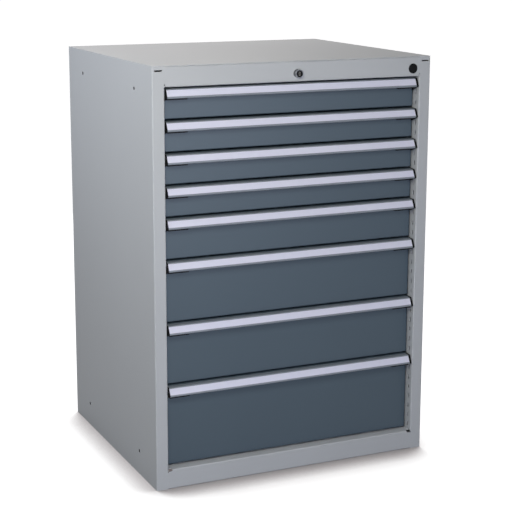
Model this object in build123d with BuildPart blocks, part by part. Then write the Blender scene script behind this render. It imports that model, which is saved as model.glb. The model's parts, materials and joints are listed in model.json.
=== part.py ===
"""Floor-standing workshop cabinet of folded sheet steel with eight full-extension drawers and a central lock.

Millimetres, +Z up. The front looks along -Y and the origin is on the floor under the middle of the whole cabinet,
lock included.
"""

import os
from math import atan2, degrees, hypot

from build123d import *

os.makedirs("parts", exist_ok=True)

# Carcass
cabinet_width = 720
cabinet_depth = 620
cabinet_height = 1000
sheet = 1.5
bend_radius = 3
stile_width = 30
stile_return = 30
rear_flange = 20
rail_height = 48
inner_flange = 24
corner_notch_width = 10
corner_notch_height = 4.5
seam_hole_diameter = 3.4
seam_hole_offset = 5

# Holes of the carcass
joining_hole_diameter = 8
joining_hole_inset = 60
joining_hole_spread = 384
stile_slot_length = 18
stile_slot_height = 3.5
stile_slot_drop = 11
perforation_length = 11
perforation_width = 5

# Drawer heights from the top down, counted in modules that together fill the opening
drawer_modules = [3, 3, 3, 3, 4, 6, 6, 8]

# Drawer fronts
front_recess = 24
front_gap = 4
front_side_gap = 3.5
front_sheet = 1.2
front_fold = 14
front_edge_radius = 2.5

# Drawer trays
tray_sheet = 1
tray_floor_gap = 5
tray_top_drop = 11.5
divider_slot_pitch = 100
divider_slot_count = 5
divider_slot_width = 3
divider_slot_margin = 14

# Handle profile: the face leans out from its top edge down to the grip lip
handle_wall = 2.2
handle_height = 21
handle_lip_reach = 25
handle_top_reach = 15.3
handle_top_drop = 1
handle_curl = 4.5
handle_curl_drop = 2
handle_flange = 14
handle_corner_radius = 2.5
label_height = 15.5
label_thickness = 0.7
label_recess = 1
label_clearance = 0.4
label_rise = 0.8
cap_thickness = 5.5
cap_side_gap = 1.2
cap_gusset = 10
cap_edge_radius = 0.8

# Telescopic runners
runner_space = 27.5
runner_length = 540
runner_fit = 0.5
runner_sheet = 1.5
runner_bend = 2
carriage_height = 24
carriage_setback = 4
guide_depth = 8
fixed_rail_height = 18
upright_width = 40
upright_top_gap = 4.5
lock_bar_space = 24

# Central lock
lock_drop = 29
lock_ring_diameter = 20
lock_ring_length = 12
lock_ring_chamfer = 0.8
lock_barrel_diameter = 16
lock_barrel_depth = 22
lock_head_diameter = 16.4
lock_head_length = 5
lock_head_setback = 0.6
lock_core_diameter = 11
lock_core_gap = 0.4
keyway_width = 2
keyway_length = 8
cam_radius = 12
cam_thickness = 3
cam_pin_diameter = 4
bar_thickness = 3
bar_width = 17
bar_fit = 0.5
arm_drop = 12
arm_rise = 12
pin_play = 3
hook_height = 6
hook_reach = 21
hook_clearance = 2
catch_reach = 19
catch_thickness = 2

# Fascia plug
plug_diameter = 24
plug_stem_diameter = 20
plug_head = 2.5
plug_inset = 19

# Planes and widths that several pieces share
half_width = cabinet_width / 2
inner_half_width = half_width - sheet
opening_half_width = half_width - stile_width
carcass_middle = lock_ring_length / 2
front_plane = carcass_middle - cabinet_depth / 2
rear_plane = carcass_middle + cabinet_depth / 2
return_end = front_plane + stile_return
rear_panel_face = rear_plane - 2 * sheet
side_top = cabinet_height - sheet
opening_top = cabinet_height - rail_height
opening_bottom = rail_height
opening_middle = (opening_top + opening_bottom) / 2
perforation_count = sum(drawer_modules)
module = (opening_top - opening_bottom - front_gap) / perforation_count
lock_level = cabinet_height - lock_drop
face_plane = front_plane + front_recess
front_half_width = opening_half_width - front_side_gap
runner_front = return_end + lock_bar_space
runner_rear = runner_front + runner_length
tray_half_width = opening_half_width - runner_space

# Top and bottom of the zone that each drawer fills, with half a gap at each end
drawer_zones = []
zone_top = opening_top - front_gap / 2
for modules in drawer_modules:
    drawer_zones.append((zone_top - modules * module, zone_top))
    zone_top -= modules * module


def block(x_range, y_range, z_range, mode=Mode.ADD):
    """Add or cut a block that fills three ranges of the part being built."""
    ranges = (x_range, y_range, z_range)
    middle = [(start + end) / 2 for start, end in ranges]
    size = [abs(end - start) for start, end in ranges]
    with Locations(tuple(middle)):
        Box(*size, mode=mode)


def folded_sheet(plane, turns, thickness, radius, length, inner_side, both=False):
    """Fold a sheet along the turns in a plane, its thickness on the inner side, and run it along the plane's axis."""
    with BuildSketch(plane) as profile:
        with BuildLine():
            FilletPolyline(*turns, radius=radius)
            offset(amount=thickness, side=inner_side)
        make_face()
    extrude(profile.sketch, amount=length, both=both)


def save(builder, name):
    """Label the finished piece and write it to its own file."""
    builder.part.label = name
    export_step(builder.part, f"parts/{name}.step")


# Side panels: rear flange, wall, front stile and perforated return, folded from one sheet
for side, name in ((-1, "left_side_panel"), (1, "right_side_panel")):
    side_turns = [
        (side * (half_width - rear_flange), rear_plane),
        (side * half_width, rear_plane),
        (side * half_width, front_plane),
        (side * opening_half_width, front_plane),
        (side * opening_half_width, return_end),
    ]
    wall_plane = Plane((side * half_width, carcass_middle, cabinet_height / 2), x_dir=(0, 1, 0), z_dir=(1, 0, 0))
    return_plane = Plane(
        (side * opening_half_width, (front_plane + return_end) / 2, opening_middle), x_dir=(0, 1, 0), z_dir=(1, 0, 0)
    )
    stile_plane = Plane(
        (side * (half_width - stile_width / 2), front_plane, cabinet_height - stile_slot_drop),
        x_dir=(1, 0, 0),
        z_dir=(0, -1, 0),
    )
    with BuildPart() as side_panel:
        folded_sheet(
            Plane.XY, side_turns, sheet, bend_radius, side_top, Side.RIGHT if side > 0 else Side.LEFT
        )
        # The return is notched away beside the rails, where the stile runs on flat to its edge
        fold_width = (side * opening_half_width, side * (opening_half_width + sheet + bend_radius))
        for notch_height in ((0, opening_bottom), (opening_top, side_top)):
            block(fold_width, (front_plane, return_end), notch_height, mode=Mode.SUBTRACT)
            block(fold_width, (front_plane, front_plane + sheet), notch_height)
        with BuildSketch(Plane.XZ.offset(-front_plane)):
            for seam_level in (opening_bottom - seam_hole_offset, opening_top + seam_hole_offset):
                with Locations((side * opening_half_width, seam_level)):
                    Circle(seam_hole_diameter / 2)
        extrude(amount=2 * sheet, both=True, mode=Mode.SUBTRACT)
        with BuildSketch(wall_plane):
            with GridLocations(joining_hole_spread, cabinet_height - 2 * joining_hole_inset, 2, 2):
                Circle(joining_hole_diameter / 2)
        extrude(amount=2 * sheet, both=True, mode=Mode.SUBTRACT)
        with BuildSketch(return_plane):
            with GridLocations(perforation_width, module, 1, perforation_count):
                Rectangle(perforation_width, perforation_length)
        extrude(amount=2 * sheet, both=True, mode=Mode.SUBTRACT)
        with BuildSketch(stile_plane):
            Rectangle(stile_slot_length, stile_slot_height)
        extrude(amount=2 * sheet, both=True, mode=Mode.SUBTRACT)
    save(side_panel, name)

# Top panel: flat sheet over the side panels with flanges turned down inside the walls
with BuildPart() as top_panel:
    with BuildSketch(Plane((0, carcass_middle, side_top))):
        RectangleRounded(cabinet_width, cabinet_depth, bend_radius)
    extrude(amount=sheet)
    flange_turns = [
        (-inner_half_width, return_end + sheet),
        (-inner_half_width, rear_panel_face),
        (inner_half_width, rear_panel_face),
        (inner_half_width, return_end + sheet),
    ]
    folded_sheet(
        Plane.XY.offset(side_top - inner_flange), flange_turns, sheet, bend_radius, inner_flange, Side.RIGHT
    )
save(top_panel, "top_panel")

# Rear panel: flat sheet behind the rear flanges of the floor pan and the top panel
with BuildPart() as rear_panel:
    with BuildSketch(Plane.XZ.offset(-rear_panel_face)):
        with Locations((0, side_top / 2)):
            Rectangle(2 * inner_half_width - 2 * bend_radius, side_top)
    extrude(amount=-sheet)
save(rear_panel, "rear_panel")

# Floor pan: turned down at the front as the bottom rail and at the rear as a foot
with BuildPart() as floor_pan:
    pan_turns = [
        (front_plane + inner_flange, 0),
        (front_plane, 0),
        (front_plane, rail_height),
        (rear_panel_face, rail_height),
        (rear_panel_face, 0),
    ]
    folded_sheet(Plane.YZ, pan_turns, sheet, bend_radius, inner_half_width, Side.RIGHT, both=True)
    for side in (-1, 1):
        block(
            (side * opening_half_width, side * half_width),
            (front_plane, return_end + sheet),
            (0, rail_height),
            mode=Mode.SUBTRACT,
        )
        block(
            (side * (opening_half_width - corner_notch_width), side * opening_half_width),
            (front_plane, front_plane + 3 * bend_radius),
            (rail_height - corner_notch_height, rail_height),
            mode=Mode.SUBTRACT,
        )
    with BuildSketch(Plane.XZ.offset(-front_plane)):
        with GridLocations(2 * opening_half_width, 1, 2, 1):
            with Locations((0, opening_bottom - seam_hole_offset)):
                Circle(seam_hole_diameter / 2)
    extrude(amount=2 * sheet, both=True, mode=Mode.SUBTRACT)
save(floor_pan, "floor_pan")

# Top fascia: channel between the stiles, pierced for the lock and the plug
plug_place = (opening_half_width - plug_inset, lock_level)
with BuildPart() as top_fascia:
    fascia_turns = [
        (front_plane + inner_flange, opening_top),
        (front_plane, opening_top),
        (front_plane, side_top),
        (front_plane + inner_flange, side_top),
    ]
    folded_sheet(Plane.YZ, fascia_turns, sheet, bend_radius, opening_half_width, Side.RIGHT, both=True)
    with BuildSketch(Plane.XZ.offset(-front_plane)):
        with Locations((0, lock_level)):
            Circle(lock_barrel_diameter / 2 + lock_core_gap)
        with Locations(plug_place):
            Circle(plug_stem_diameter / 2 + lock_core_gap)
        with GridLocations(2 * opening_half_width, 1, 2, 1):
            with Locations((0, opening_top + seam_hole_offset)):
                Circle(seam_hole_diameter / 2)
    extrude(amount=2 * sheet, both=True, mode=Mode.SUBTRACT)
save(top_fascia, "top_fascia")

# Runner uprights: four perforated channels that stand on the floor pan against the side walls
upright_height = side_top - inner_flange - upright_top_gap - rail_height
with BuildPart() as runner_uprights:
    for side in (-1, 1):
        for upright_front in (runner_front, runner_rear - 2 * upright_width + upright_width / 2):
            upright_turns = [
                (side * inner_half_width, upright_front),
                (side * opening_half_width, upright_front),
                (side * opening_half_width, upright_front + upright_width),
                (side * inner_half_width, upright_front + upright_width),
            ]
            folded_sheet(
                Plane.XY.offset(rail_height),
                upright_turns,
                sheet,
                bend_radius,
                upright_height,
                Side.RIGHT if side > 0 else Side.LEFT,
            )
            web_plane = Plane(
                (side * opening_half_width, upright_front + upright_width / 2, opening_middle),
                x_dir=(0, 1, 0),
                z_dir=(1, 0, 0),
            )
            with BuildSketch(web_plane):
                with GridLocations(perforation_width, module, 1, perforation_count):
                    Rectangle(perforation_width, perforation_length)
            extrude(amount=2 * sheet, both=True, mode=Mode.SUBTRACT)
save(runner_uprights, "runner_uprights")

# Section of one runner on the right: fixed rail, carriage above it, tray flange above that
flange_lip = tray_half_width + runner_space - carriage_setback - runner_fit
rail_lip = tray_half_width + 4 * runner_fit
carriage_inner = rail_lip + runner_sheet + runner_fit
carriage_outer = opening_half_width - runner_sheet - runner_fit


def runner_levels(top):
    """Heights of the carriage's top and of the fixed rail's underside below the top of a drawer's zone."""
    carriage_top = top - tray_top_drop - tray_sheet - runner_fit
    rail_bottom = carriage_top - carriage_height - runner_fit - runner_sheet
    return carriage_top, rail_bottom


def hook_rest(top):
    """Underside of a drawer's hook while the lock is open, low enough to clear the rail when it is lifted."""
    return runner_levels(top)[1] - hook_clearance - hook_height - cam_radius


# Cabinet rails: one folded rail on each side of every drawer, fixed to the uprights
with BuildPart() as cabinet_rails:
    for bottom, top in drawer_zones:
        rail_bottom = runner_levels(top)[1]
        for side in (-1, 1):
            rail_turns = [
                (side * opening_half_width, rail_bottom + fixed_rail_height),
                (side * opening_half_width, rail_bottom),
                (side * rail_lip, rail_bottom),
                (side * rail_lip, rail_bottom + guide_depth),
            ]
            folded_sheet(
                Plane.XZ.offset(-runner_rear),
                rail_turns,
                runner_sheet,
                runner_bend,
                runner_length,
                Side.RIGHT if side > 0 else Side.LEFT,
            )
save(cabinet_rails, "cabinet_rails")

# Handle section, measured forward and down from the top edge of the drawer front
lean_run = handle_lip_reach - handle_top_reach
lean_drop = handle_height - handle_top_drop
lean_length = hypot(lean_run, lean_drop)
lean_angle = degrees(atan2(lean_drop, lean_run))
handle_half_length = opening_half_width - cap_side_gap - cap_thickness


def handle_point(reach, drop, front_top):
    """Place a point of the handle section on the Y-Z plane of one drawer."""
    return (face_plane - reach, front_top - drop)


# Drawers
for number, (bottom, top) in enumerate(drawer_zones, start=1):
    front_bottom = bottom + front_gap / 2
    front_top = top - front_gap / 2
    tray_bottom = bottom + tray_floor_gap
    tray_top = top - tray_top_drop
    carriage_top, rail_bottom = runner_levels(top)

    # Front: one sheet with its four edges folded back and rounded
    with BuildPart() as front:
        block(
            (-front_half_width, front_half_width), (face_plane, face_plane + front_fold), (front_bottom, front_top)
        )
        fillet(front.edges().group_by(Axis.Y)[0], front_edge_radius)
        offset(amount=-front_sheet, openings=front.faces().sort_by(Axis.Y)[-1])
    save(front, f"drawer_{number}_front")

    # Tray: open box with divider slots, runner flanges along both sides and a catch for the lock bar
    tray_front = face_plane + front_sheet
    tray_rear = runner_rear - 4 * runner_fit
    tray_middle = (tray_front + tray_rear) / 2
    slot_bottom = tray_bottom + divider_slot_margin
    slot_top = tray_top - divider_slot_margin
    with BuildPart() as tray:
        block((-tray_half_width, tray_half_width), (tray_front, tray_rear), (tray_bottom, tray_top))
        offset(amount=-tray_sheet, openings=tray.faces().sort_by(Axis.Z)[-1])
        with BuildSketch(Plane((0, tray_middle, (slot_bottom + slot_top) / 2), x_dir=(0, 1, 0), z_dir=(1, 0, 0))):
            with GridLocations(divider_slot_pitch, 1, divider_slot_count, 1):
                Rectangle(divider_slot_width, slot_top - slot_bottom)
        extrude(amount=half_width, both=True, mode=Mode.SUBTRACT)
        for side in (-1, 1):
            block(
                (side * tray_half_width, side * (flange_lip + tray_sheet)),
                (runner_front, tray_rear),
                (tray_top - tray_sheet, tray_top),
            )
            block(
                (side * flange_lip, side * (flange_lip + tray_sheet)),
                (runner_front, tray_rear),
                (tray_top - guide_depth, tray_top),
            )
        block(
            (tray_half_width - tray_sheet, tray_half_width + catch_reach),
            (runner_front - catch_thickness, runner_front),
            (hook_rest(top) + hook_height + hook_clearance, rail_bottom - hook_clearance),
        )
    save(tray, f"drawer_{number}_tray")

    # Carriages: the sliding middle members of the two runners
    with BuildPart() as carriages:
        for side in (-1, 1):
            carriage_turns = [
                (side * (flange_lip - runner_fit), carriage_top),
                (side * carriage_inner, carriage_top),
                (side * carriage_inner, carriage_top - carriage_height),
                (side * carriage_outer, carriage_top - carriage_height),
            ]
            folded_sheet(
                Plane.XZ.offset(-runner_rear),
                carriage_turns,
                runner_sheet,
                runner_bend,
                runner_length,
                Side.LEFT if side > 0 else Side.RIGHT,
            )
    save(carriages, f"drawer_{number}_carriages")

    # Handle: extruded profile with a recess for the label in its leaning face
    face_start = handle_point(handle_top_reach, handle_top_drop, front_top)
    face_end = handle_point(handle_lip_reach, handle_height, front_top)
    label_run = (lean_length / 2 - label_rise) / lean_length
    label_middle = handle_point(
        handle_top_reach + label_run * lean_run, handle_top_drop + label_run * lean_drop, front_top
    )
    curl_end = handle_point(handle_lip_reach - handle_curl, handle_height + handle_curl_drop, front_top)
    handle_turns = [
        handle_point(0, handle_flange, front_top),
        handle_point(0, 0, front_top),
        face_start,
        face_end,
        curl_end,
    ]
    with BuildPart() as handle:
        with BuildSketch(Plane.YZ):
            with BuildLine():
                FilletPolyline(*handle_turns, radius=handle_corner_radius)
                offset(amount=handle_wall, side=Side.LEFT)
            make_face()
            with Locations(label_middle):
                Rectangle(
                    label_height + 2 * label_clearance, 2 * label_recess, rotation=lean_angle, mode=Mode.SUBTRACT
                )
        extrude(amount=handle_half_length, both=True)
    save(handle, f"drawer_{number}_handle")

    # Label strip: lies on the floor of the recess
    strip_depth = label_recess - label_thickness / 2
    strip_middle = (
        label_middle[0] + strip_depth * lean_drop / lean_length,
        label_middle[1] - strip_depth * lean_run / lean_length,
    )
    with BuildPart() as label_strip:
        with BuildSketch(Plane.YZ):
            with Locations(strip_middle):
                Rectangle(label_height, label_thickness, rotation=lean_angle)
        extrude(amount=handle_half_length, both=True)
    save(label_strip, f"drawer_{number}_label_strip")

    # End caps: close the ends of the profile and brace its lip against the front
    cap_turns = [
        handle_point(0, 0, front_top),
        face_start,
        face_end,
        curl_end,
        handle_point(0, handle_height + cap_gusset, front_top),
    ]
    with BuildPart() as end_caps:
        for side in (-1, 1):
            with BuildSketch(Plane.YZ.offset(side * handle_half_length)):
                with BuildLine():
                    FilletPolyline(*cap_turns, radius=handle_corner_radius)
                    Line(cap_turns[-1], cap_turns[0])
                make_face()
            extrude(amount=side * cap_thickness)
        outer_faces = [end_caps.faces().sort_by(Axis.X)[0], end_caps.faces().sort_by(Axis.X)[-1]]
        outer_edges = [edge for face in outer_faces for edge in face.edges().sort_by(Axis.Y)[:-1]]
        fillet(outer_edges, cap_edge_radius)
    save(end_caps, f"drawer_{number}_end_caps")

# Lock housing: ring on the fascia and barrel through it
lock_axis = Axis((0, 0, lock_level), (0, 1, 0))
lock_plane = Plane.XY.offset(lock_level)
ring_front = front_plane - lock_ring_length
barrel_rear = front_plane + lock_barrel_depth
head_radius = lock_head_diameter / 2
head_rear = ring_front + lock_head_setback + lock_head_length
core_radius = lock_core_diameter / 2
ring_radius = lock_ring_diameter / 2
barrel_radius = lock_barrel_diameter / 2
with BuildPart() as lock_housing:
    with BuildSketch(lock_plane):
        with BuildLine():
            Polyline(
                (head_radius + lock_core_gap, ring_front),
                (ring_radius - lock_ring_chamfer, ring_front),
                (ring_radius, ring_front + lock_ring_chamfer),
                (ring_radius, front_plane),
                (barrel_radius, front_plane),
                (barrel_radius, barrel_rear),
                (core_radius + lock_core_gap, barrel_rear),
                (core_radius + lock_core_gap, head_rear + lock_core_gap),
                (head_radius + lock_core_gap, head_rear + lock_core_gap),
                close=True,
            )
        make_face()
    revolve(axis=lock_axis)
save(lock_housing, "lock_housing")

# Lock cylinder: headed core with keyway, cam lever and the pin that lifts the lock bar
core_front = ring_front + lock_head_setback
cam_front = barrel_rear + lock_core_gap
cam_rear = cam_front + cam_thickness
bar_front = return_end + bar_fit
with BuildPart() as lock_cylinder:
    with BuildSketch(Plane.XZ.offset(-cam_rear)):
        with Locations((0, lock_level)):
            Circle(core_radius)
    extrude(amount=cam_rear - core_front)
    with BuildSketch(Plane.XZ.offset(-head_rear)):
        with Locations((0, lock_level)):
            Circle(head_radius)
    extrude(amount=lock_head_length)
    with BuildSketch(Plane.XZ.offset(-cam_rear)):
        with Locations((-cam_radius / 2, lock_level)):
            SlotCenterToCenter(cam_radius, 2 * cam_pin_diameter)
    extrude(amount=cam_thickness)
    with BuildSketch(Plane.XZ.offset(-(bar_front + bar_thickness))):
        with Locations((-cam_radius, lock_level)):
            Circle(cam_pin_diameter / 2)
    extrude(amount=bar_front + bar_thickness - cam_rear)
    block(
        (-keyway_width / 2, keyway_width / 2),
        (core_front, core_front + keyway_length),
        (lock_level - keyway_length / 2, lock_level + keyway_length / 2),
        mode=Mode.SUBTRACT,
    )
save(lock_cylinder, "lock_cylinder")

# Lock bar: arm behind the fascia, leg behind the right stile and a hook for every drawer
leg_inner = opening_half_width + 2 * bar_fit
leg_outer = leg_inner + bar_thickness
leg_bottom = hook_rest(drawer_zones[-1][1]) - hook_height
arm_bottom = lock_level - arm_drop
arm_top = lock_level + arm_rise
with BuildPart() as lock_bar:
    with BuildSketch(Plane.XZ.offset(-(bar_front + bar_thickness))):
        with BuildLine():
            Polyline(
                (-2 * cam_radius, arm_bottom),
                (-2 * cam_radius, arm_top),
                (leg_outer, arm_top),
                (leg_outer, arm_bottom),
                close=True,
            )
        make_face()
        with Locations((-cam_radius / 2, lock_level + pin_play / 2)):
            Rectangle(
                cam_radius + cam_pin_diameter + 2 * bar_fit,
                cam_pin_diameter + pin_play + 2 * bar_fit,
                mode=Mode.SUBTRACT,
            )
    extrude(amount=bar_thickness)
    block((leg_inner, leg_outer), (bar_front, bar_front + bar_width), (leg_bottom, arm_top))
    for bottom, top in drawer_zones:
        hook_bottom = hook_rest(top)
        block(
            (leg_outer - bar_thickness / 2, leg_outer - bar_thickness / 2 - hook_reach),
            (bar_front + bar_width - 2 * bar_thickness, bar_front + bar_width - bar_thickness),
            (hook_bottom, hook_bottom + hook_height),
        )
save(lock_bar, "lock_bar")

# Fascia plug: domed head with a stem through the hole
with BuildPart() as hole_plug:
    with BuildSketch(Plane.XY.offset(plug_place[1])):
        with BuildLine():
            head_top = (0, front_plane - plug_head)
            head_edge = (plug_diameter / 2, front_plane - plug_head / 3)
            Polyline(
                head_edge,
                (plug_diameter / 2, front_plane),
                (plug_stem_diameter / 2, front_plane),
                (plug_stem_diameter / 2, front_plane + 3 * sheet),
                (0, front_plane + 3 * sheet),
                head_top,
            )
            RadiusArc(head_top, head_edge, 4 * plug_diameter)
        make_face()
    revolve(axis=Axis((0, 0, plug_place[1]), (0, 1, 0)))
hole_plug.part = hole_plug.part.moved(Location((plug_place[0], 0, 0)))
save(hole_plug, "hole_plug")
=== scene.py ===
import json
from math import radians

import bmesh
import bpy
from mathutils import Matrix, Vector


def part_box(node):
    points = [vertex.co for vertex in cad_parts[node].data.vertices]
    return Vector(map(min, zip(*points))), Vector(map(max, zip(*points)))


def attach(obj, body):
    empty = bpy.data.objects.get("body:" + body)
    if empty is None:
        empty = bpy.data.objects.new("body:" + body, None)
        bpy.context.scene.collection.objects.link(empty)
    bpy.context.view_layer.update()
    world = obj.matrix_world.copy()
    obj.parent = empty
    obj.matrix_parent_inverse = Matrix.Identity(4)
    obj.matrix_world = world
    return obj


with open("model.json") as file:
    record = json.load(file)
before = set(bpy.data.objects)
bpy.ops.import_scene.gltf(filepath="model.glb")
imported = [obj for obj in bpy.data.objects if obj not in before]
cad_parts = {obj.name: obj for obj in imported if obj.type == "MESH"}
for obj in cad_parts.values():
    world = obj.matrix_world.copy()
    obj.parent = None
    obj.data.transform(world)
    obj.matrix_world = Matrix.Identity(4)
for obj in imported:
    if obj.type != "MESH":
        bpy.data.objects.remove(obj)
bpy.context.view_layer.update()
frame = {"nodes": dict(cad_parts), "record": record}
nodes = frame["nodes"]


# Carcass: side panels with their stiles, top, rear, fascia, floor pan and runner uprights.
# Mild steel sheet, punched, folded and spot-welded, then powder-coated in light grey as one unit.
# The coat is a baked polyester film, so it is even in colour with a faint orange-peel ripple.
def linear(hex_colour):
    """sRGB hex to the linear colour that a shader socket takes."""
    channels = [int(hex_colour[i : i + 2], 16) / 255 for i in (1, 3, 5)]
    return [c / 12.92 if c <= 0.04045 else ((c + 0.055) / 1.055) ** 2.4 for c in channels] + [1.0]


def add_node(tree, kind, settings=None, inputs=None, links=None):
    """Add a shader node, set its properties and sockets, and link its sockets from other nodes' outputs."""
    node = tree.nodes.new(kind)
    for name, value in (settings or {}).items():
        setattr(node, name, value)
    for socket, value in (inputs or {}).items():
        node.inputs[socket].default_value = value
    for socket, output in (links or {}).items():
        tree.links.new(output, node.inputs[socket])
    return node


def new_material(name):
    """An empty node material with its principled shader already on the output."""
    material = bpy.data.materials.new(name)
    material.use_nodes = True
    tree = material.node_tree
    return material, tree, tree.nodes["Principled BSDF"]


# A mix node repeats its socket names for each kind of value; these are the places of those for colours.
first_colour = 6
second_colour = 7
mixed_colour = 2


def powder_coat(name, dark_hex, light_hex, roughness, gloss_level, ripple_depth):
    """Powder coat: the tint drifts softly over the sheet and the surface has an orange-peel ripple.
    A real ripple is about 1.5 mm wide; here it is 4 mm, as coarse as it needs to show."""
    material, tree, shader = new_material(name)
    place = add_node(tree, "ShaderNodeTexCoord")
    ripple_width = 0.004
    drift_width = 0.35
    smoothest = roughness - 0.05
    roughest = roughness + 0.07
    drift = add_node(
        tree,
        "ShaderNodeTexNoise",
        inputs={"Scale": 1 / drift_width, "Detail": 3, "Roughness": 0.55},
        links={"Vector": place.outputs["Object"]},
    )
    tint = add_node(
        tree,
        "ShaderNodeMix",
        {"data_type": "RGBA"},
        {first_colour: linear(dark_hex), second_colour: linear(light_hex)},
        {"Factor": drift.outputs["Fac"]},
    )
    ripple = add_node(
        tree,
        "ShaderNodeTexNoise",
        inputs={"Scale": 1 / ripple_width, "Detail": 1.5},
        links={"Vector": place.outputs["Object"]},
    )
    relief = add_node(
        tree,
        "ShaderNodeBump",
        inputs={"Strength": 0.25, "Distance": ripple_depth},
        links={"Height": ripple.outputs["Fac"]},
    )
    gloss = add_node(
        tree,
        "ShaderNodeMapRange",
        inputs={"To Min": smoothest, "To Max": roughest},
        links={"Value": drift.outputs["Fac"]},
    )
    tree.links.new(tint.outputs[mixed_colour], shader.inputs["Base Color"])
    tree.links.new(gloss.outputs["Result"], shader.inputs["Roughness"])
    tree.links.new(relief.outputs["Normal"], shader.inputs["Normal"])
    shader.inputs["Specular IOR Level"].default_value = gloss_level
    return material


def dress(node_name, material):
    """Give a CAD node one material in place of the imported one."""
    mesh = nodes[node_name].data
    mesh.materials.clear()
    mesh.materials.append(material)


carcass_look = {
    "dark_hex": "#b2b5b9",
    "light_hex": "#b8bbbf",
    "roughness": 0.62,
    "gloss_level": 0.12,
    "ripple_depth": 0.00025,
}
carcass_coat = powder_coat("light_grey_powder_coat", **carcass_look)
for carcass_piece in ("top_panel", "rear_panel", "floor_pan", "top_fascia", "runner_uprights"):
    dress(carcass_piece, carcass_coat)

# The walls of the side panels' joining holes, and a thin ring round each, are painted near black: painted
# shade for the dark inside of the holes.
# The four holes lie evenly about the cabinet's middle, so one distance, folded over, finds them all.
side_coat = powder_coat("light_grey_powder_coat_with_painted_hole_shade", **carcass_look)
tree = side_coat.node_tree
shader = tree.nodes["Principled BSDF"]
coat_colour = shader.inputs["Base Color"].links[0].from_socket
millimetre = 0.001
mounts = {mount["name"]: mount for mount in frame["record"]["mounts"]}
joining_holes = mounts["left_joining_holes"]
cabinet_middle = (0, *joining_holes["pos_m"][1:])
hole_spread_along = joining_holes["dims"]["spacing_x_mm"] * millimetre
hole_spread_up = joining_holes["dims"]["spacing_y_mm"] * millimetre
hole_radius = joining_holes["dims"]["hole_r_mm"] * millimetre
edge_allowance = 0.0001
within_panel = (0, 1, 1)
back_to_hole = (0, -hole_spread_along / 2, -hole_spread_up / 2)
place = add_node(tree, "ShaderNodeTexCoord")
from_middle = add_node(
    tree,
    "ShaderNodeVectorMath",
    {"operation": "SUBTRACT"},
    {1: cabinet_middle},
    {0: place.outputs["Object"]},
)
folded_over = add_node(
    tree, "ShaderNodeVectorMath", {"operation": "ABSOLUTE"}, links={0: from_middle.outputs["Vector"]}
)
from_hole = add_node(
    tree,
    "ShaderNodeVectorMath",
    {"operation": "MULTIPLY_ADD"},
    {1: within_panel, 2: back_to_hole},
    {0: folded_over.outputs["Vector"]},
)
hole_distance = add_node(
    tree, "ShaderNodeVectorMath", {"operation": "LENGTH"}, links={0: from_hole.outputs["Vector"]}
)
in_painted_hole_shade = add_node(
    tree,
    "ShaderNodeMath",
    {"operation": "LESS_THAN"},
    {1: hole_radius + edge_allowance},
    {0: hole_distance.outputs["Value"]},
)
# Painted shade: the hole walls and the thin ring round them take a near-black colour in place of the coat.
hole_shade_or_coat = add_node(
    tree,
    "ShaderNodeMix",
    {"data_type": "RGBA"},
    {second_colour: linear("#1d1c1b")},
    {"Factor": in_painted_hole_shade.outputs["Value"], first_colour: coat_colour},
)
tree.links.new(hole_shade_or_coat.outputs[mixed_colour], shader.inputs["Base Color"])
for side_panel in ("left_side_panel", "right_side_panel"):
    dress(side_panel, side_coat)


# Drawer fronts and trays: folded steel sheet, the fronts coated blue-grey and the trays mid grey.
# Each front is welded to its tray, which hangs by its side flanges on the runners.
# The fronts' coat is smoother than the carcass's, so they shine a little where a light is mirrored.
drawer_count = 8
drawer_numbers = range(1, drawer_count + 1)
front_coat = powder_coat(
    "blue_grey_powder_coat",
    dark_hex="#44525e",
    light_hex="#485661",
    roughness=0.42,
    gloss_level=0.25,
    ripple_depth=0.0002,
)
tray_coat = powder_coat(
    "mid_grey_powder_coat",
    dark_hex="#9a9ea2",
    light_hex="#a5a9ad",
    roughness=0.5,
    gloss_level=0.3,
    ripple_depth=0.0003,
)
for number in drawer_numbers:
    dress(f"drawer_{number}_front", front_coat)
    dress(f"drawer_{number}_tray", tray_coat)


# Handle profiles: extruded aluminium as wide as the front, coated grey, clipped to the front's top edge.
# The die leaves fine lines along the length, which show as a slight streak in the gloss.
handle_coat, tree, shader = new_material("grey_coated_aluminium_extrusion")
place = add_node(tree, "ShaderNodeTexCoord")
# Real die lines are finer than half a millimetre; these are as coarse as they need to show.
die_line_spacing = 0.002
die_line_stretch = 50
along_length = add_node(
    tree,
    "ShaderNodeMapping",
    inputs={"Scale": (1 / die_line_stretch, 1, 1)},
    links={"Vector": place.outputs["Object"]},
)
die_lines = add_node(
    tree,
    "ShaderNodeTexNoise",
    inputs={"Scale": 1 / die_line_spacing, "Detail": 2},
    links={"Vector": along_length.outputs["Vector"]},
)
streak = add_node(
    tree,
    "ShaderNodeMix",
    {"data_type": "RGBA"},
    {first_colour: linear("#787f88"), second_colour: linear("#838a93")},
    {"Factor": die_lines.outputs["Fac"]},
)
sheen = add_node(
    tree,
    "ShaderNodeMapRange",
    inputs={"To Min": 0.33, "To Max": 0.47},
    links={"Value": die_lines.outputs["Fac"]},
)
tree.links.new(streak.outputs[mixed_colour], shader.inputs["Base Color"])
tree.links.new(sheen.outputs["Result"], shader.inputs["Roughness"])
shader.inputs["Specular IOR Level"].default_value = 0.4
for number in drawer_numbers:
    dress(f"drawer_{number}_handle", handle_coat)


# Label strips: white card slid into the handle's recess under a clear film.
# The card is faintly mottled by its fibres and has a cool white from the film over it.
label_card, tree, shader = new_material("white_card_under_clear_film")
place = add_node(tree, "ShaderNodeTexCoord")
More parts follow.
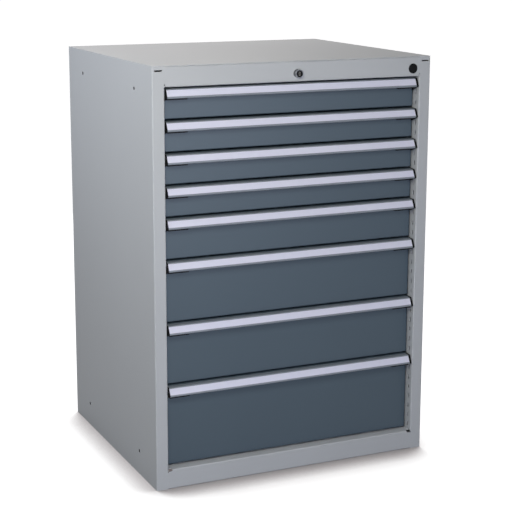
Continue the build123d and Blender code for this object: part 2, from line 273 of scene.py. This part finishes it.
# Real fibres are far finer; their mottle is drawn as coarse as it needs to show.
fibre_width = 0.012
fibres = add_node(
    tree,
    "ShaderNodeTexNoise",
    inputs={"Scale": 1 / fibre_width, "Detail": 4},
    links={"Vector": place.outputs["Object"]},
)
card_tint = add_node(
    tree,
    "ShaderNodeMix",
    {"data_type": "RGBA"},
    {first_colour: linear("#cdcee0"), second_colour: linear("#d4d5e6")},
    {"Factor": fibres.outputs["Fac"]},
)
tree.links.new(card_tint.outputs[mixed_colour], shader.inputs["Base Color"])
shader.inputs["Roughness"].default_value = 0.5
shader.inputs["Coat Weight"].default_value = 0.3
shader.inputs["Coat Roughness"].default_value = 0.15
for number in drawer_numbers:
    dress(f"drawer_{number}_label_strip", label_card)


# End caps and hole plug: black polypropylene mouldings pushed into the profile ends and the fascia hole.
# The mould is spark-eroded, so the surface is a matt fine grain that catches little light.
black_moulding, tree, shader = new_material("black_moulded_polypropylene")
place = add_node(tree, "ShaderNodeTexCoord")
# The real grain is about a tenth of a millimetre wide; this one is as coarse as it needs to show.
grain_width = 0.0012
grain_depth = 0.0002
grain = add_node(
    tree,
    "ShaderNodeTexNoise",
    inputs={"Scale": 1 / grain_width, "Detail": 2},
    links={"Vector": place.outputs["Object"]},
)
grain_relief = add_node(
    tree,
    "ShaderNodeBump",
    inputs={"Strength": 0.3, "Distance": grain_depth},
    links={"Height": grain.outputs["Fac"]},
)
moulding_tint = add_node(
    tree,
    "ShaderNodeMix",
    {"data_type": "RGBA"},
    {first_colour: linear("#050506"), second_colour: linear("#0a0b0c")},
    {"Factor": grain.outputs["Fac"]},
)
tree.links.new(moulding_tint.outputs[mixed_colour], shader.inputs["Base Color"])
tree.links.new(grain_relief.outputs["Normal"], shader.inputs["Normal"])
shader.inputs["Roughness"].default_value = 0.65
shader.inputs["Specular IOR Level"].default_value = 0.08
for number in drawer_numbers:
    dress(f"drawer_{number}_end_caps", black_moulding)
dress("hole_plug", black_moulding)


def add_block(shape, middle, size):
    """Add a square-edged block to a shape."""
    bmesh.ops.create_cube(shape, size=1, matrix=Matrix.LocRotScale(Vector(middle), None, Vector(size)))


def new_piece(name, shape, material):
    """Turn a shape into an object of the scene, with one material."""
    mesh = bpy.data.meshes.new(name)
    shape.to_mesh(mesh)
    shape.free()
    mesh.materials.append(material)
    piece = bpy.data.objects.new(name, mesh)
    bpy.context.scene.collection.objects.link(piece)
    return piece


# Each cap reaches inward under the handle's curled lip with a flat tongue.
tongue_length = 0.05
tongue_depth = 0.008
tongue_height = 0.0024
tongue_clearance = 0.0002
handle_curl = 0.0045
for number in drawer_numbers:
    handle_low, handle_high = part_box(f"drawer_{number}_handle")
    tongue_middle_y = handle_low[1] + handle_curl + tongue_depth / 2
    tongue_middle_z = handle_low[2] - tongue_clearance - tongue_height / 2
    shape = bmesh.new()
    for tongue_middle_x in (handle_low[0] + tongue_length / 2, handle_high[0] - tongue_length / 2):
        tongue_middle = (tongue_middle_x, tongue_middle_y, tongue_middle_z)
        add_block(shape, tongue_middle, (tongue_length, tongue_depth, tongue_height))
    tongues = new_piece(f"drawer_{number}_cap_tongues", shape, black_moulding)
    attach(tongues, f"drawer_{number}")


# Runners and lock bar: steel strip, zinc-plated and passivated before it is rolled to section.
# The plating has a fine spangle and a duller sheen than bare steel.
zinc_plate, tree, shader = new_material("zinc_plated_steel")
place = add_node(tree, "ShaderNodeTexCoord")
spangle_width = 0.006
spangle = add_node(
    tree,
    "ShaderNodeTexVoronoi",
    inputs={"Scale": 1 / spangle_width},
    links={"Vector": place.outputs["Object"]},
)
spangle_grey = add_node(tree, "ShaderNodeRGBToBW", links={"Color": spangle.outputs["Color"]})
zinc_tint = add_node(
    tree,
    "ShaderNodeMix",
    {"data_type": "RGBA"},
    {first_colour: linear("#9da1a4"), second_colour: linear("#b9bcbe")},
    {"Factor": spangle_grey.outputs["Val"]},
)
zinc_gloss = add_node(
    tree,
    "ShaderNodeMapRange",
    inputs={"To Min": 0.32, "To Max": 0.48},
    links={"Value": spangle_grey.outputs["Val"]},
)
tree.links.new(zinc_tint.outputs[mixed_colour], shader.inputs["Base Color"])
tree.links.new(zinc_gloss.outputs["Result"], shader.inputs["Roughness"])
shader.inputs["Metallic"].default_value = 0.9
for number in drawer_numbers:
    dress(f"drawer_{number}_carriages", zinc_plate)
dress("cabinet_rails", zinc_plate)
dress("lock_bar", zinc_plate)


# Lock: zinc die-cast housing in satin chrome with a black-finished core that the key turns.
# The satin chrome mirrors the room softly and greyly; the core is a dull black.
# A pressed nickel rim, worn dull, lines the mouth of the keyway and turns with the core.
chrome_plate, tree, shader = new_material("satin_chromed_die_cast_zinc")
place = add_node(tree, "ShaderNodeTexCoord")
smear_width = 0.004
smears = add_node(
    tree,
    "ShaderNodeTexNoise",
    inputs={"Scale": 1 / smear_width, "Detail": 3},
    links={"Vector": place.outputs["Object"]},
)
smear_gloss = add_node(
    tree,
    "ShaderNodeMapRange",
    inputs={"To Min": 0.3, "To Max": 0.42},
    links={"Value": smears.outputs["Fac"]},
)
tree.links.new(smear_gloss.outputs["Result"], shader.inputs["Roughness"])
shader.inputs["Base Color"].default_value = linear("#77797c")
shader.inputs["Metallic"].default_value = 1.0
dress("lock_housing", chrome_plate)

core_black, tree, shader = new_material("black_oxide_lock_core")
place = add_node(tree, "ShaderNodeTexCoord")
rub_width = 0.003
rubs = add_node(
    tree,
    "ShaderNodeTexNoise",
    inputs={"Scale": 1 / rub_width, "Detail": 3},
    links={"Vector": place.outputs["Object"]},
)
rub_gloss = add_node(
    tree,
    "ShaderNodeMapRange",
    inputs={"To Min": 0.35, "To Max": 0.55},
    links={"Value": rubs.outputs["Fac"]},
)
tree.links.new(rub_gloss.outputs["Result"], shader.inputs["Roughness"])
shader.inputs["Base Color"].default_value = linear("#0b0c0d")
shader.inputs["Specular IOR Level"].default_value = 0.06
dress("lock_cylinder", core_black)

rim_nickel, tree, shader = new_material("dull_nickel_plate")
place = add_node(tree, "ShaderNodeTexCoord")
wear_width = 0.001
wear = add_node(
    tree,
    "ShaderNodeTexNoise",
    inputs={"Scale": 1 / wear_width, "Detail": 2},
    links={"Vector": place.outputs["Object"]},
)
wear_gloss = add_node(
    tree,
    "ShaderNodeMapRange",
    inputs={"To Min": 0.34, "To Max": 0.46},
    links={"Value": wear.outputs["Fac"]},
)
tree.links.new(wear_gloss.outputs["Result"], shader.inputs["Roughness"])
shader.inputs["Base Color"].default_value = linear("#7c7973")
shader.inputs["Metallic"].default_value = 1.0

keyway_width = 0.002
keyway_length = 0.008
rim_band = 0.0005
rim_height = 0.0003
core_setback = 0.0006
housing_low, housing_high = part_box("lock_housing")
lock_level = (housing_low[2] + housing_high[2]) / 2
core_face = housing_low[1] + core_setback
rim_middle_y = core_face - rim_height / 2
band_middle_x = (keyway_width + rim_band) / 2
band_middle_z = (keyway_length + rim_band) / 2
upright_band = (rim_band, rim_height, keyway_length + 2 * rim_band)
cross_band = (keyway_width, rim_height, rim_band)
shape = bmesh.new()
for side in (-1, 1):
    add_block(shape, (side * band_middle_x, rim_middle_y, lock_level), upright_band)
    add_block(shape, (0, rim_middle_y, lock_level + side * band_middle_z), cross_band)
keyway_rim = new_piece("keyway_rim", shape, rim_nickel)
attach(keyway_rim, "lock")


# Studio: pale floor that is white to the camera, a soft white surround and a ring of soft lights.
# The floor darkens where the cabinet's foot shuts the light out: the narrow shadow round its base.
def seen_rays(tree):
    """A factor of 1 for rays that show the background: those of the camera, of gloss and of glass."""
    rays = add_node(tree, "ShaderNodeLightPath")
    camera_or_gloss = add_node(
        tree,
        "ShaderNodeMath",
        {"operation": "MAXIMUM"},
        links={0: rays.outputs["Is Camera Ray"], 1: rays.outputs["Is Glossy Ray"]},
    )
    return add_node(
        tree,
        "ShaderNodeMath",
        {"operation": "MAXIMUM"},
        links={0: camera_or_gloss.outputs["Value"], 1: rays.outputs["Is Transmission Ray"]},
    ).outputs["Value"]


def nearness_shade(tree, lean, reach, stops):
    """Tone of the floor by how open it is within reach, on the side that the lean points to."""
    lean_node = add_node(tree, "ShaderNodeCombineXYZ", inputs=dict(zip("XYZ", lean)))
    openness = add_node(
        tree,
        "ShaderNodeAmbientOcclusion",
        {"samples": 16},
        {"Distance": reach},
        {"Normal": lean_node.outputs["Vector"]},
    )
    tone = add_node(tree, "ShaderNodeValToRGB", links={"Fac": openness.outputs["AO"]})
    steps = tone.color_ramp.elements
    for step, (position, hex_colour) in zip(steps, (stops[0], stops[-1])):
        step.position = position
        step.color = linear(hex_colour)
    for position, hex_colour in stops[1:-1]:
        steps.new(position).color = linear(hex_colour)
    return tone.outputs["Color"]


# Round the foot the shade is short and dark; in front it reaches further and is pale.
floor_paint, tree, shader = new_material("pale_studio_floor")
round_foot = nearness_shade(
    tree,
    lean=(0.33, 0.7, 0.63),
    reach=0.12,
    stops=((0.3, "#5c5658"), (0.5, "#989293"), (0.8, "#ffffff")),
)
in_front = nearness_shade(
    tree,
    lean=(-0.35, 0.92, 0.15),
    reach=0.22,
    stops=((0.45, "#cfcccc"), (0.78, "#ffffff")),
)
shadow_tone = add_node(
    tree,
    "ShaderNodeMix",
    {"data_type": "RGBA", "blend_type": "MULTIPLY"},
    {"Factor": 1.0},
    {first_colour: round_foot, second_colour: in_front},
)
tree.links.new(shadow_tone.outputs[mixed_colour], shader.inputs["Emission Color"])
tree.links.new(seen_rays(tree), shader.inputs["Emission Strength"])
shader.inputs["Base Color"].default_value = linear("#909090")
shader.inputs["Specular IOR Level"].default_value = 0
shader.inputs["Roughness"].default_value = 0.9
floor_half_size = 30
shape = bmesh.new()
bmesh.ops.create_grid(shape, x_segments=1, y_segments=1, size=floor_half_size)
floor = new_piece("floor", shape, floor_paint)

world = bpy.data.worlds.new("white_surround")
bpy.context.scene.world = world
world.use_nodes = True
tree = world.node_tree
surround = tree.nodes["Background"]
surround.inputs["Color"].default_value = linear("#ffffff")
surround_light = 0.12
brightness = add_node(
    tree,
    "ShaderNodeMapRange",
    inputs={"To Min": surround_light, "To Max": 1.0},
    links={"Value": seen_rays(tree)},
)
tree.links.new(brightness.outputs["Result"], surround.inputs["Strength"])


def soft_light(name, place, aim, size, power, hex_colour):
    """A soft box: an area light that points at a place on the cabinet."""
    light = bpy.data.lights.new(name, "AREA")
    light.shape = "RECTANGLE"
    light.size, light.size_y = size
    light.energy = power
    light.color = linear(hex_colour)[:3]
    lamp = bpy.data.objects.new(name, light)
    bpy.context.scene.collection.objects.link(lamp)
    lamp.location = place
    lamp.rotation_euler = (Vector(aim) - Vector(place)).to_track_quat("-Z", "Y").to_euler()
    lamp.visible_camera = False
    return lamp


soft_light(
    "key_light",
    place=(-0.9, -1.6, 1.5),
    aim=(-0.3, -0.3, 0.9),
    size=(0.6, 0.6),
    power=15.2,
    hex_colour="#fffcee",
)
soft_light(
    "side_light",
    place=(-1.25, 0, 1.35),
    aim=(-0.36, 0, 0.75),
    size=(1.4, 0.3),
    power=8.5,
    hex_colour="#f4f8ff",
)
soft_light(
    "front_light",
    place=(-0.6, -2.6, 0.7),
    aim=(0, 0, 0.4),
    size=(1.6, 0.8),
    power=24.5,
    hex_colour="#e8edff",
)
soft_light(
    "top_light",
    place=(0.2, 1.4, 2.0),
    aim=(0.1, 0.2, 1.0),
    size=(1.2, 0.6),
    power=18,
    hex_colour="#fff8f3",
)
soft_light(
    "right_fill",
    place=(2.8, 0.6, 0.5),
    aim=(0.36, 0, 0.5),
    size=(1.6, 0.9),
    power=25,
    hex_colour="#ffffff",
)
soft_light(
    "rear_fill",
    place=(0.4, 3.0, 0.5),
    aim=(0, 0.3, 0.5),
    size=(1.6, 0.9),
    power=25,
    hex_colour="#ffffff",
)
# The sheen light shows in gloss only: the upper left of the fronts mirrors it towards the camera.
sheen_lamp = soft_light(
    "sheen_light",
    place=(0.6, -3.2, 0.65),
    aim=(-0.4, -0.28, 0.95),
    size=(0.6, 0.6),
    power=34,
    hex_colour="#e4eaff",
)
sheen_lamp.visible_diffuse = False

# The camera stands in front and to the left, well back, and looks a little down on the cabinet.
camera_data = bpy.data.cameras.new("camera")
camera_data.sensor_width = 36
camera_data.lens = 98.03
camera_data.shift_y = -0.06
camera = bpy.data.objects.new("camera", camera_data)
bpy.context.scene.collection.objects.link(camera)
turn_degrees = -24.64
look_down_degrees = 11.73
roll_degrees = 0.15
sideways_up_and_back = (0.03413, 0.05056, 3.61018)
camera.matrix_world = (
    Matrix.Translation(cabinet_middle)
    @ Matrix.Rotation(radians(turn_degrees), 4, "Z")
    @ Matrix.Rotation(radians(90 - look_down_degrees), 4, "X")
    @ Matrix.Rotation(radians(roll_degrees), 4, "Z")
    @ Matrix.Translation(sideways_up_and_back)
)
bpy.context.scene.camera = camera
bpy.context.scene.view_settings.view_transform = "Standard"
